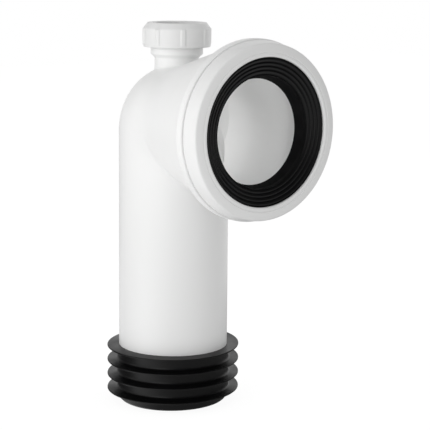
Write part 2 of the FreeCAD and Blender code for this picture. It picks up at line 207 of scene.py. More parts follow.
# what it throws back and what the camera sees
lift = add_range(tree, east, -SHEEN_NEAR, SHEEN_NEAR,
                 low=FLOOR_LIFT + FLOOR_LIFT_TILT, high=FLOOR_LIFT - FLOOR_LIFT_TILT)
strength = add_range(tree, seen, low=lift, high=FLOOR_GLOW)
strength = add_range(tree, shiny, low=strength, high=sheen)
share = add_range(tree, seen, low=FLOOR_LIFT_SHARE, high=FLOOR_GLOW_SHARE)
matt = add_node(tree, "ShaderNodeBsdfDiffuse", {"Color": FLOOR_COLOUR})
glow = add_node(tree, "ShaderNodeEmission", {"Color": PURE_WHITE, "Strength": strength})
mixed = add_node(tree, "ShaderNodeMixShader", {0: share, 1: matt.outputs[0], 2: glow.outputs[0]})
add_node(tree, "ShaderNodeOutputMaterial", {"Surface": mixed.outputs[0]})
floor_mesh.materials.append(floor_finish)


# Studio lamps: a broad soft panel on the left and weaker ones in front, on the right and behind. Three small
# lamps light the inside of the bend from the spigot, from the mouth and towards the heel. One with a
# narrow beam lifts the left wall of the socket. The small ones don't show in shiny surfaces.

PANELS = {
    # name: (bearing in degrees, rise in degrees, distance, width, height, watts)
    "key_panel": (258.0, 5.0, 1.5, 1.9, 1.5, 8.3),
    "front_panel": (300.0, 12.0, 1.7, 1.0, 1.3, 5.8),
    "right_panel": (100.0, 10.0, 1.5, 1.0, 1.0, 4.4),
    "back_panel": (180.0, 10.0, 1.8, 0.9, 0.9, 0.6),
}
PANEL_AIM = Vector((0.0, -0.03, 0.17))
SMALL_LAMPS = {
    # name: (width, watts, beam in degrees, place, the way it shines)
    "bore_lamp": (0.07, 0.024, 180.0, (0.0, 0.0, 0.03), (0.0, 0.0, 1.0)),
    "throat_lamp": (0.07, 0.0148, 180.0, (0.018, -0.110, 0.2352), (-0.8, 1.0, 0.0)),
    "heel_lamp": (0.045, 0.0108, 120.0, (-0.011, -0.052, 0.2440), (0.50, 1.0, -0.60)),
    "side_lamp": (0.10, 0.0050, 25.0, (-0.482, 0.184, 0.288), (0.420, -0.262, -0.050)),
}


def add_lamp(name, shape, width, height, watts, place, towards):
    """An area lamp at a place that shines the given way and isn't itself seen."""
    lamp = bpy.data.objects.new(name, bpy.data.lights.new(name, "AREA"))
    lamp.data.shape = shape
    lamp.data.size = width
    lamp.data.size_y = height
    lamp.data.energy = watts
    lamp.location = place
    lamp.rotation_mode = "QUATERNION"
    lamp.rotation_quaternion = towards.to_track_quat("-Z", "Y")
    lamp.visible_camera = False
    scene.collection.objects.link(lamp)
    return lamp


for name, (bearing, rise, distance, width, height, watts) in PANELS.items():
    bearing = math.radians(bearing)
    rise = math.radians(rise)
    out = Vector((
        math.sin(bearing) * math.cos(rise),
        -math.cos(bearing) * math.cos(rise),
        math.sin(rise),
    ))
    panel = add_lamp(name, "RECTANGLE", width, height, watts, PANEL_AIM + out * distance, -out)
    panel.visible_glossy = name != "right_panel"

for name, (width, watts, beam, place, way) in SMALL_LAMPS.items():
    lamp = add_lamp(name, "DISK", width, width, watts, Vector(place), Vector(way))
    lamp.data.spread = math.radians(beam)
    lamp.visible_glossy = False


# Bend: the spigot, the tight bend, the flared socket and the vent boss are one moulding in white
# polypropylene, with the fine grain of a spark-finished mould, faint flow marks and light handling
# marks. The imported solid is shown, and its shading is softened where its forms run together.

MOULDED_WHITE = (0.86, 0.862, 0.86, 1.0)
MOULDED_SHADE = (0.80, 0.80, 0.79, 1.0)
GRAIN_SCALE = 1500.0
GRAIN_HEIGHT = 0.000012
PEEL_SCALE = 210.0
PEEL_HEIGHT = 0.000022
FLOW_SCALE = 24.0
FLOW_STRETCH = (1.0, 1.0, 0.35)
FLOW_SHADE = 0.5
FLOW_ROUGHNESS = 0.14
RUB_SCALE = 90.0
RUB_STRETCH = (1.0, 5.0, 1.6)
RUB_NARROWNESS = 70.0
RUB_PATCH_GAIN = 5.0
RUB_PATCH_CUT = 2.9
RUB_SHADE = 0.3
RUB_ROUGHNESS = 0.16
RUB_DEPTH = 0.000006
MOULDED_SPECULAR = 0.45


def start_group(name, inputs, outputs):
    """A shader node group with number inputs and outputs of the given names."""
    tree = bpy.data.node_groups.new(name, "ShaderNodeTree")
    for label, value in inputs.items():
        socket = tree.interface.new_socket(label, in_out="INPUT", socket_type="NodeSocketFloat")
        socket.default_value = value
    for label in outputs:
        kind = "NodeSocketVector" if label == "Normal" else "NodeSocketFloat"
        tree.interface.new_socket(label, in_out="OUTPUT", socket_type=kind)
    given = add_node(tree, "NodeGroupInput").outputs
    result = add_node(tree, "NodeGroupOutput").inputs
    return tree, given, result


def add_ramp(tree, value, start, end):
    """A soft rise from nothing to one, as the value goes from its start to its end."""
    return add_range(tree, value, start, end, kind="SMOOTHSTEP")


def add_noise(tree, place, scale, detail, stretch=None):
    """Noise about a middle of one half, on a place that may be stretched first."""
    if stretch:
        place = add_node(tree, "ShaderNodeMapping", {"Vector": place, "Scale": stretch}).outputs[0]
    noise = add_node(tree, "ShaderNodeTexNoise", {"Vector": place, "Scale": scale, "Detail": detail})
    return noise.outputs["Fac"]


def add_cut(tree, value, gain, cut):
    """Patches of a noise: nothing below the cut, then a rise up to one."""
    return add_math(tree, "SUBTRACT", add_math(tree, "MULTIPLY", value, gain), cut, clamp=True)


def make_moulded_skin():
    """The surface of moulded polypropylene: a shade mask, roughness and a height in metres."""
    tree, given, result = start_group(
        "moulded_skin", {"Roughness": 0.4, "Marks": 1.0}, ("Shade", "Roughness", "Height"))
    place = add_node(tree, "ShaderNodeTexCoord").outputs["Object"]
    grain = add_noise(tree, place, GRAIN_SCALE, 3.0)
    peel = add_noise(tree, place, PEEL_SCALE, 1.0)
    flow = add_noise(tree, place, FLOW_SCALE, 3.0, FLOW_STRETCH)
    rubs = add_noise(tree, place, RUB_SCALE, 6.0, RUB_STRETCH)

    # narrow bands of the stretched noise read as light handling marks
    band = add_math(tree, "ABSOLUTE", add_math(tree, "SUBTRACT", rubs, 0.5))
    line = add_math(tree, "SUBTRACT", 1.0, add_math(tree, "MULTIPLY", band, RUB_NARROWNESS), clamp=True)
    patch = add_cut(tree, flow, RUB_PATCH_GAIN, RUB_PATCH_CUT)
    marks = add_math(tree, "MULTIPLY", add_math(tree, "MULTIPLY", line, patch), given["Marks"])

    marked = add_math(tree, "MULTIPLY", marks, RUB_SHADE)
    shade = add_math(tree, "MULTIPLY_ADD", flow, FLOW_SHADE, marked, clamp=True)
    tree.links.new(shade, result["Shade"])

    uneven = add_math(tree, "MULTIPLY", add_math(tree, "SUBTRACT", flow, 0.5), FLOW_ROUGHNESS)
    rough = add_math(tree, "ADD", given["Roughness"], uneven)
    rough = add_math(tree, "ADD", rough, add_math(tree, "MULTIPLY", marks, RUB_ROUGHNESS), clamp=True)
    tree.links.new(rough, result["Roughness"])

    fine = add_math(tree, "MULTIPLY", grain, GRAIN_HEIGHT)
    wide = add_math(tree, "MULTIPLY", peel, PEEL_HEIGHT)
    cut = add_math(tree, "MULTIPLY", marks, -RUB_DEPTH)
    height = add_math(tree, "ADD", add_math(tree, "ADD", fine, wide), cut)
    tree.links.new(height, result["Height"])
    return tree


moulded_skin = make_moulded_skin()


def start_finish(name, skin, **values):
    """A material with its tree, its skin group and its shader, whose bump takes the skin's height."""
    material = bpy.data.materials.new(name)
    material.use_nodes = True
    tree = material.node_tree
    shader = tree.nodes["Principled BSDF"]
    group = add_node(tree, "ShaderNodeGroup", node_tree=skin)
    for label, value in values.items():
        group.inputs[label].default_value = value
    bump = add_node(tree, "ShaderNodeBump", {"Height": group.outputs["Height"], "Distance": 1.0})
    tree.links.new(bump.outputs["Normal"], shader.inputs["Normal"])
    tree.links.new(group.outputs["Roughness"], shader.inputs["Roughness"])
    return material, tree, group, shader


def mix_colours(tree, share, first, second):
    """A colour between two, given as colours or outputs."""
    node = add_node(tree, "ShaderNodeMix", {0: share, 6: first, 7: second}, data_type="RGBA")
    return node.outputs[2]


def make_moulded_finish(name, colour, shade, **values):
    """White polypropylene in the given colour, with the moulded skin."""
    material, tree, group, shader = start_finish(name, moulded_skin, **values)
    mixed = mix_colours(tree, group.outputs["Shade"], colour, shade)
    tree.links.new(mixed, shader.inputs["Base Color"])
    shader.inputs["Specular IOR Level"].default_value = MOULDED_SPECULAR
    return material


MM = 0.001
PIPE = 45.0
BEND = 10.0
SOCKET_LEVEL = 235.2
FLARE_START = 20.0
FLARE_SLOPE = 21.4 / 75.0
FORM_SOFTNESS = 10.0
TINY = 0.00001

# where each part of the blend fades in, from the first to the second, in metres or as a cosine
HEEL_END = (0.010, 0.013)
HEEL_RUN = (0.014, 0.002)
LEAN_RUN = (0.006, 0.046)
FACING_OUT = (0.2, 0.5)
ABOVE_SEAL = (0.10, 0.12)
BEFORE_COLLAR = (0.094, 0.086)
ROUND_BOSS = (0.030, 0.038)
BELOW_BOSS = (0.268, 0.258)


def join_axes(tree, **parts):
    """A vector from values or outputs for x, y and z."""
    given = {axis.upper(): part for axis, part in parts.items()}
    return add_node(tree, "ShaderNodeCombineXYZ", given).outputs[0]


def add_scaled(tree, vector, share):
    """A vector times a number."""
    return add_node(tree, "ShaderNodeVectorMath", {0: vector, "Scale": share}, operation="SCALE").outputs[0]


def make_blended_form():
    """The moulding's normal where its forms run together: the socket leaves the pipe and its heel in a soft
    curve and widens gently. The boss, the collar and the inside keep their own."""
    tree, given, result = start_group("blended_form", {
        "Pipe Radius": PIPE * MM,
        "Bend Radius": BEND * MM,
        "Axis Height": SOCKET_LEVEL * MM,
        "Flare Start": FLARE_START * MM,
        "Flare Slope": FLARE_SLOPE,
        "Softness": FORM_SOFTNESS * MM,
    }, ("Normal",))
    own = add_node(tree, "ShaderNodeNewGeometry").outputs["Normal"]
    place = add_node(tree, "ShaderNodeTexCoord").outputs["Object"]
    x, y, z = add_node(tree, "ShaderNodeSeparateXYZ", {0: place}).outputs
    out = add_math(tree, "MULTIPLY", y, -1.0)

    # pipe and heel: the way from the nearest point of their centre line
    top = add_math(tree, "SUBTRACT", given["Axis Height"], given["Bend Radius"])
    rise = add_math(tree, "MAXIMUM", add_math(tree, "SUBTRACT", z, top), 0.0)
    past_centre = add_math(tree, "ADD", y, given["Bend Radius"])
    back = add_math(tree, "MAXIMUM", past_centre, TINY)
    square = add_math(tree, "MULTIPLY_ADD", rise, rise, add_math(tree, "MULTIPLY", back, back))
    share = add_math(tree, "DIVIDE", given["Bend Radius"], add_math(tree, "SQRT", square))
    along_y = add_math(tree, "SUBTRACT", past_centre, add_math(tree, "MULTIPLY", share, back))
    along_z = add_math(tree, "MULTIPLY", rise, add_math(tree, "SUBTRACT", 1.0, share))
    pipe_way = join_axes(tree, x=x, y=along_y, z=along_z)
    pipe_length = add_vector(tree, "LENGTH", pipe_way, result="Value")
    pipe_gap = add_math(tree, "SUBTRACT", pipe_length, given["Pipe Radius"])
    pipe_gap = add_math(tree, "MULTIPLY_ADD", rise, add_ramp(tree, out, *HEEL_END), pipe_gap)

    # socket: the way from its axis, leaning back as it widens
    up = add_math(tree, "SUBTRACT", z, given["Axis Height"])
    socket_way = join_axes(tree, x=x, z=up)
    grown = add_math(tree, "MAXIMUM", add_math(tree, "SUBTRACT", out, given["Flare Start"]), 0.0)
    wall = add_math(tree, "MULTIPLY_ADD", grown, given["Flare Slope"], given["Pipe Radius"])
    socket_gap = add_math(tree, "SUBTRACT", add_vector(tree, "LENGTH", socket_way, result="Value"), wall)
    lean = add_math(tree, "MULTIPLY", add_ramp(tree, out, *LEAN_RUN), given["Flare Slope"])
    socket_way = add_vector(tree, "ADD", add_vector(tree, "NORMALIZE", socket_way), join_axes(tree, y=lean))

    # one runs into the other over the softness
    nearer = add_math(tree, "DIVIDE", add_math(tree, "SUBTRACT", socket_gap, pipe_gap), given["Softness"])
    pipe_share = add_math(tree, "MAXIMUM", add_ramp(tree, nearer, -1.0, 1.0), add_ramp(tree, out, *HEEL_RUN))
    socket_share = add_math(tree, "SUBTRACT", 1.0, pipe_share)
    pipe_part = add_scaled(tree, add_vector(tree, "NORMALIZE", pipe_way), pipe_share)
    socket_part = add_scaled(tree, add_vector(tree, "NORMALIZE", socket_way), socket_share)
    both = add_vector(tree, "NORMALIZE", add_vector(tree, "ADD", pipe_part, socket_part))

    # only on the outside, between the collar and the seal, and clear of the boss
    outside = add_ramp(tree, add_vector(tree, "DOT_PRODUCT", own, both, result="Value"), *FACING_OUT)
    above_seal = add_ramp(tree, z, *ABOVE_SEAL)
    before_collar = add_ramp(tree, out, *BEFORE_COLLAR)
    from_boss = add_math(tree, "SQRT", add_math(tree, "MULTIPLY_ADD", x, x, add_math(tree, "MULTIPLY", y, y)))
    clear = add_math(tree, "MAXIMUM", add_ramp(tree, from_boss, *ROUND_BOSS), add_ramp(tree, z, *BELOW_BOSS))
    part = add_math(tree, "MULTIPLY", add_math(tree, "MULTIPLY", outside, above_seal),
                    add_math(tree, "MULTIPLY", before_collar, clear))
    change = add_scaled(tree, add_vector(tree, "SUBTRACT", both, own), part)
    blended = add_vector(tree, "NORMALIZE", add_vector(tree, "ADD", own, change))
    tree.links.new(blended, result["Normal"])
    return tree


bend_finish = make_moulded_finish("white_bend", MOULDED_WHITE, MOULDED_SHADE, Roughness=0.38)
tree = bend_finish.node_tree
form = add_node(tree, "ShaderNodeGroup", node_tree=make_blended_form())
tree.links.new(form.outputs["Normal"], tree.nodes["Bump"].inputs["Normal"])
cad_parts["bend_body"].material_slots[0].material = bend_finish


# Outlet seal: a sleeve of black rubber on the stepped end of the spigot, moulded with four thin fins
# that wipe the drain's bore. The fins droop a little and their free edges aren't quite level.

STEPS_ROUND = 240
HUB = 46.2
FIN_TIP = 54.72
FIN_COUNT = 4
FIN_PITCH = 11.88
FIN_LEVEL = 10.31
FIN_DROOP = 0.75
FIN_ROOT = 1.9
FIN_FILLET = 2.3
FIN_EDGE = 1.1
SEAL_TOP = FIN_LEVEL + FIN_PITCH * (FIN_COUNT - 1) + FIN_DROOP
SEAT = 43.35
SEAT_TOP = SEAL_TOP - 0.5
LIP_BORE = 41.7
LIP_DEPTH = 2.2
LEAD = 44.7
LEAD_TOP = 7.0
LEAD_CORNER = 1.3
TOOTH_START = LEAD_TOP + 0.6
FLEX_BEARING = math.radians(10.0)
FLEX_LIP_TOP = LEAD_TOP + 2.0
FIN_SWING = 1.3
FIN_LIFT = 2.4
LIP_LEAN = 1.5
RUBBER_BLACK = (0.0030, 0.0030, 0.0032, 1.0)
RUBBER_BLOOM = (0.010, 0.010, 0.011, 1.0)
RUBBER_GRAIN_SCALE = 2600.0
RUBBER_GRAIN_HEIGHT = 0.000016
MOTTLE_SCALE = 60.0
MOTTLE_ROUGHNESS = 0.12
MOTTLE_GAIN = 3.2
MOTTLE_CUT = 1.5
MOTTLE_BLOOM = 0.35
SPECK_SCALE = 700.0
SPECK_GAIN = 9.0
SPECK_CUT = 6.3
SPECK_BLOOM = 0.5
TOOL_MARK_SCALE = 5200.0
TOOL_MARK_HEIGHT = 0.000007
BLOOM_ROUGHNESS = 0.2
THROAT_DULLING = 0.66
CORNER_STEPS = 4
CORNER_SHARE = 0.49
MERGE_GAP = 0.005


def soften(corners):
    """The outline through (across, up, round) corners, each corner turned into an arc of that radius."""
    points = []
    last = len(corners) - 1
    for index, (across, up, radius) in enumerate(corners):
        here = Vector((across, up))
        if radius == 0.0 or index in (0, last):
            points.append(here)
            continue
        before = Vector(corners[index - 1][:2]) - here
        after = Vector(corners[index + 1][:2]) - here
        half = before.angle(after) / 2
        room_here = min(before.length, after.length) * CORNER_SHARE
        reach = min(radius / math.tan(half), room_here)
        start = here + before.normalized() * reach
        end = here + after.normalized() * reach
        for step in range(CORNER_STEPS + 1):
            share = step / CORNER_STEPS
            first = start.lerp(here, share)
            points.append(first.lerp(here.lerp(end, share), share))
    return points


def wire_mesh(name, rest, repeated=()):
    """An outline of (across, up) points in mm as a wire: the part that repeats, if any, and the rest."""
    mesh = bpy.data.meshes.new(name)
    places = [(x * MM, 0.0, y * MM) for x, y in list(repeated) + list(rest)]
    edges = [(n, n + 1) for n in range(len(places) - 1) if n + 1 != len(repeated)]
    if not repeated:
        edges.append((len(places) - 1, 0))
    mesh.from_pydata(places, edges, [])
    marks = mesh.attributes.new("repeats", "BOOLEAN", "POINT")
    marks.data.foreach_set("value", [n < len(repeated) for n in range(len(places))])
    return mesh


def start_tree(name, **inputs):
    """A geometry tree that takes a piece, inputs of the given kinds and a finish, and puts out the piece."""
    tree = bpy.data.node_groups.new(name, "GeometryNodeTree")
    for label, kind in (("Piece", "Geometry"), *inputs.items(), ("Finish", "Material")):
        tree.interface.new_socket(label.replace("_", " "), in_out="INPUT", socket_type="NodeSocket" + kind)
    tree.interface.new_socket("Piece", in_out="OUTPUT", socket_type="NodeSocketGeometry")
    return tree, add_node(tree, "NodeGroupInput").outputs


def end_tree(tree, geometry, finish):
    """Ends a tree: its result as real mesh in the finish."""
    real = add_node(tree, "GeometryNodeRealizeInstances", {"Geometry": geometry})
    finished = add_node(tree, "GeometryNodeSetMaterial", {"Geometry": real.outputs[0], "Material": finish})
    add_node(tree, "NodeGroupOutput", {0: finished.outputs[0]})
    return tree


def polar_place(tree):
    """Each point's x, y and height, its distance from the axis and its turn round it."""
    place = add_node(tree, "GeometryNodeInputPosition").outputs[0]
    x, y, z = add_node(tree, "ShaderNodeSeparateXYZ", {0: place}).outputs
    radius = add_math(tree, "SQRT", add_math(tree, "MULTIPLY_ADD", x, x, add_math(tree, "MULTIPLY", y, y)))
    return x, y, z, radius, add_math(tree, "ARCTAN2", y, x)


def turned_tree():
    """Repeats part of a wire outline along a line, joins it to the rest and turns the whole round Z."""
    tree, given = start_tree("turned_outline", Count="Int", Step="Vector", Steps_Round="Int")

    # the whole outline as one closed curve
    marked = add_node(tree, "GeometryNodeInputNamedAttribute", {"Name": "repeats"}, data_type="BOOLEAN")
    parted = add_node(tree, "GeometryNodeSeparateGeometry",
                      {"Geometry": given["Piece"], "Selection": marked.outputs[0]})
    line = add_node(tree, "GeometryNodeMeshLine", {"Count": given["Count"], "Offset": given["Step"]})
    copies = add_node(tree, "GeometryNodeInstanceOnPoints",
                      {"Points": line.outputs[0], "Instance": parted.outputs["Selection"]})
    real = add_node(tree, "GeometryNodeRealizeInstances", {"Geometry": copies.outputs[0]})
    both = add_node(tree, "GeometryNodeJoinGeometry")
    tree.links.new(parted.outputs["Inverted"], both.inputs[0])
    tree.links.new(real.outputs[0], both.inputs[0])
    whole = add_node(tree, "GeometryNodeMergeByDistance",
                     {"Geometry": both.outputs[0], "Distance": MERGE_GAP * MM})
    outline = add_node(tree, "GeometryNodeMeshToCurve", {"Mesh": whole.outputs[0]})

    # the closed curve is swept round a circle, and each point is put at its own radius and height
    section = add_node(tree, "GeometryNodeCaptureAttribute", {"Geometry": outline.outputs[0]})
    section.capture_items.new("VECTOR", "Section")
    tree.links.new(add_node(tree, "GeometryNodeInputPosition").outputs[0], section.inputs[1])
    circle = add_node(tree, "GeometryNodeCurvePrimitiveCircle",
                      {"Resolution": given["Steps Round"], "Radius": 1.0})
    turn = add_node(tree, "GeometryNodeCaptureAttribute", {"Geometry": circle.outputs[0]})
    turn.capture_items.new("FLOAT", "Turn")
    tree.links.new(add_node(tree, "GeometryNodeSplineParameter").outputs["Factor"], turn.inputs[1])
    swept = add_node(tree, "GeometryNodeCurveToMesh",
                     {"Curve": turn.outputs[0], "Profile Curve": section.outputs[0]})
    angle = add_math(tree, "MULTIPLY", turn.outputs[1], math.tau)
    across, _, up = add_node(tree, "ShaderNodeSeparateXYZ", {0: section.outputs[1]}).outputs
    place = join_axes(
        tree,
        x=add_math(tree, "MULTIPLY", across, add_math(tree, "COSINE", angle)),
        y=add_math(tree, "MULTIPLY", across, add_math(tree, "SINE", angle)),
        z=up,
    )
    placed = add_node(tree, "GeometryNodeSetPosition", {"Geometry": swept.outputs[0], "Position": place})
    return end_tree(tree, placed.outputs[0], given["Finish"])


def run_tree(piece, tree, finish, **values):
    """Give the piece the tree with its finish and named inputs, and keep the result as its plain mesh."""
    values["Finish"] = finish
    modifier = piece.modifiers.new(tree.name, "NODES")
    modifier.node_group = tree
    sockets = {item.name: item.identifier for item in tree.interface.items_tree if item.in_out == "INPUT"}
    for name, value in values.items():
        modifier[sockets[name.replace("_", " ")]] = value
    graph = bpy.context.evaluated_depsgraph_get()
    made = bpy.data.meshes.new_from_object(piece.evaluated_get(graph))
    piece.modifiers.remove(modifier)
    piece.data = made


def close_up(piece, edge_angle=40.0):
    """Normals outwards, smooth faces, and crisp edges where two faces meet at more than the angle."""
    shape = bmesh.new()
    shape.from_mesh(piece.data)
    bmesh.ops.recalc_face_normals(shape, faces=shape.faces)
    shape.to_mesh(piece.data)
    shape.free()
    piece.data.shade_smooth()
    piece.data.set_sharp_from_angle(angle=math.radians(edge_angle))


def start_piece(name, mesh):
    """A new object at the origin with the mesh."""
    piece = bpy.data.objects.new(name, mesh)
    scene.collection.objects.link(piece)
    return piece


turned = turned_tree()


def make_rubber_skin():
    """The surface of moulded black rubber: a bloom mask, roughness and a height in metres. Lines holds the
    distance along the moulding's section, so that fine tool marks run round it."""
    tree, given, result = start_group(
        "rubber_skin", {"Lines": 0.0, "Roughness": 0.4}, ("Bloom", "Roughness", "Height"))
    place = add_node(tree, "ShaderNodeTexCoord").outputs["Object"]
    grain = add_noise(tree, place, RUBBER_GRAIN_SCALE, 2.0)
    mottle = add_noise(tree, place, MOTTLE_SCALE, 4.0)
    specks = add_noise(tree, place, SPECK_SCALE, 2.0)
    marks = add_node(tree, "ShaderNodeTexNoise", {
        "W": given["Lines"], "Scale": TOOL_MARK_SCALE, "Detail": 2.0}, noise_dimensions="1D")

    patch = add_cut(tree, mottle, MOTTLE_GAIN, MOTTLE_CUT)
    dust = add_math(tree, "MULTIPLY", add_cut(tree, specks, SPECK_GAIN, SPECK_CUT), SPECK_BLOOM)
    bloom = add_math(tree, "MULTIPLY_ADD", patch, MOTTLE_BLOOM, dust, clamp=True)
    tree.links.new(bloom, result["Bloom"])

    uneven = add_math(tree, "MULTIPLY", add_math(tree, "SUBTRACT", mottle, 0.5), MOTTLE_ROUGHNESS)
    rough = add_math(tree, "ADD", given["Roughness"], uneven)
    rough = add_math(tree, "ADD", rough, add_math(tree, "MULTIPLY", bloom, BLOOM_ROUGHNESS), clamp=True)
    tree.links.new(rough, result["Roughness"])

    fine = add_math(tree, "MULTIPLY", grain, RUBBER_GRAIN_HEIGHT)
    rings = add_math(tree, "MULTIPLY", marks.outputs["Fac"], TOOL_MARK_HEIGHT)
    tree.links.new(add_math(tree, "ADD", fine, rings), result["Height"])
    return tree


rubber_skin = make_rubber_skin()


def make_rubber_finish(name, axis_place=None, gloss=0.25, dull=None, **values):
    """Black rubber. Tool marks run at levels of Z, or round an axis along Y at the given height. Dull holds
    two distances from that axis, between which the surface turns matt."""
    material, tree, group, shader = start_finish(name, rubber_skin, **values)
    place = add_node(tree, "ShaderNodeTexCoord").outputs["Object"]
    if axis_place is None:
        along = add_node(tree, "ShaderNodeSeparateXYZ", {0: place}).outputs[2]
    else:
        moved = add_node(tree, "ShaderNodeMapping", {
            "Vector": place, "Location": (0.0, 0.0, -axis_place), "Scale": (1.0, 0.0, 1.0)})
        along = add_vector(tree, "LENGTH", moved.outputs[0], result="Value")
    tree.links.new(along, group.inputs["Lines"])
    if dull:
        matt = add_range(tree, along, dull[0], dull[1], high=THROAT_DULLING)
        rough = add_math(tree, "ADD", group.outputs["Roughness"], matt, clamp=True)
        tree.links.new(rough, shader.inputs["Roughness"])
    colour = mix_colours(tree, group.outputs["Bloom"], RUBBER_BLACK, RUBBER_BLOOM)
    tree.links.new(colour, shader.inputs["Base Color"])
    shader.inputs["Specular IOR Level"].default_value = gloss
    return material


def flex_tree():
    """Bends the soft seal: lower fins swing up on one side and down on the other, upper ones lift on one side
    only, and the lip under the spigot leans."""
    tree, given = start_tree("flexed_seal", Hub="Float", Tip="Float", Top="Float", Lip="Float",
                             Bearing="Float", Swing="Float", Lift="Float", Lean="Float")
    _, _, z, radius, turn = polar_place(tree)
    out = add_range(tree, radius, given["Hub"], given["Tip"])
    out = add_math(tree, "MULTIPLY", out, out)
    high = add_range(tree, z, end=given["Top"])
    low = add_math(tree, "SUBTRACT", 1.0, high)
    foot = add_range(tree, z, given["Lip"], 0.0)
    wave = add_math(tree, "COSINE", add_math(tree, "SUBTRACT", turn, given["Bearing"]))
    side = add_math(tree, "MULTIPLY_ADD", wave, 0.5, 0.5)

    swing = add_math(tree, "MULTIPLY", add_math(tree, "MULTIPLY", wave, low), given["Swing"])
    lift = add_math(tree, "MULTIPLY", high, given["Lift"])
    lift = add_math(tree, "MULTIPLY", lift, add_math(tree, "POWER", side, 2.0))
    bend = add_math(tree, "MULTIPLY", add_math(tree, "ADD", swing, lift), out)
    lean = add_math(tree, "MULTIPLY", add_math(tree, "MULTIPLY", side, foot), given["Lean"])
    rise = join_axes(tree, z=add_math(tree, "ADD", bend, lean))
    moved = add_node(tree, "GeometryNodeSetPosition", {"Geometry": given["Piece"], "Offset": rise})
    return end_tree(tree, moved.outputs[0], given["Finish"])


def fin_corners(level, start):
    """Corners of one fin whose tip's upper edge is at the level, from a start on the hub."""
    root = level + FIN_DROOP
    return [
        (HUB, start, 0.0),
        (HUB, root - FIN_ROOT, 1.0),
        (FIN_TIP, level - FIN_EDGE, 0.35),
        (FIN_TIP, level, 0.6),
        (HUB, root, FIN_FILLET),
    ]


fin_outline = soften(fin_corners(FIN_LEVEL, TOOTH_START) + [(HUB, TOOTH_START + FIN_PITCH, 0.0)])
top_fin = fin_corners(SEAL_TOP - FIN_DROOP, TOOTH_START + FIN_PITCH * (FIN_COUNT - 1))
sleeve_outline = soften(top_fin[:-1] + [
    (HUB, SEAL_TOP, 0.6),
    (PIPE + 0.05, SEAL_TOP, 0.4),
    (PIPE - 0.4, SEAT_TOP, 0.2),
    (SEAT, SEAT_TOP, 0.2),
    (SEAT, LIP_DEPTH, 0.2),
    (LIP_BORE, LIP_DEPTH, 0.4),
    (LIP_BORE, 0.0, 0.6),
    (LEAD - LEAD_CORNER, 0.0, 0.5),
    (LEAD, LEAD_CORNER, 0.8),
    (LEAD, LEAD_TOP, 0.25),
    (HUB, LEAD_TOP, 0.25),
    (HUB, TOOTH_START, 0.0),
])
outlet_finish = make_rubber_finish("black_outlet_rubber", Roughness=0.36)
outlet_ring = start_piece("outlet_ring", wire_mesh("outlet_outline", sleeve_outline, fin_outline))
run_tree(outlet_ring, turned, outlet_finish, Count=FIN_COUNT - 1, Step=(0.0, 0.0, FIN_PITCH * MM),
         Steps_Round=STEPS_ROUND)
run_tree(outlet_ring, flex_tree(), outlet_finish, Hub=HUB * MM, Tip=FIN_TIP * MM, Top=SEAL_TOP * MM,
         Lip=FLEX_LIP_TOP * MM, Bearing=FLEX_BEARING, Swing=FIN_SWING * MM, Lift=FIN_LIFT * MM,
         Lean=LIP_LEAN * MM)
close_up(outlet_ring)
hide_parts("outlet_seal")
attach(outlet_ring, "connector")


# Pan seal: a collar of black rubber held by its rim behind the ring. Its dished front has four soft ridges
# that wipe the pan's outlet, and its throat runs back as a thin tapered sleeve and hangs a little.

RING_FRONT = 120.3
BEAD = 57.0
BEAD_FRONT = RING_FRONT - 1.9
RIM = 65.5
RIM_FOOT = 62.3
RIM_BACK = 113.1
RIM_FRONT = 117.1
THROAT = 43.4
DISH = 4.1
THROAT_FRONT = BEAD_FRONT - DISH
SLEEVE_WALL = 1.8
SLEEVE_TAPER = 2.5
SLEEVE_NECK = THROAT_FRONT - 4.0
SLEEVE_MOUTH = THROAT_FRONT - 9.7
SLEEVE_END = THROAT_FRONT - 11.5
SLEEVE_SHOULDER = 3.0
DULL_START = THROAT + 0.9
DULL_END = THROAT + 0.1
RIDGE_COUNT = 4
RIDGE_MARGIN = 0.7
RIDGE_RISE = 0.85
RIDGE_FULLNESS = 0.65
RIDGE_STEPS = 12
RIDGE_PITCH = (BEAD - THROAT - 2 * RIDGE_MARGIN) / RIDGE_COUNT
RIDGE_FALL = DISH * RIDGE_PITCH / (BEAD - THROAT)
THROAT_SAG = 0.8
SAG_START = THROAT + 2.0
SAG_RUN = 4.0


def dished(radius):
    """Distance of the seal's dished front from the pipe's axis, at a radius."""
    return BEAD_FRONT - DISH * (BEAD - radius) / (BEAD - THROAT)


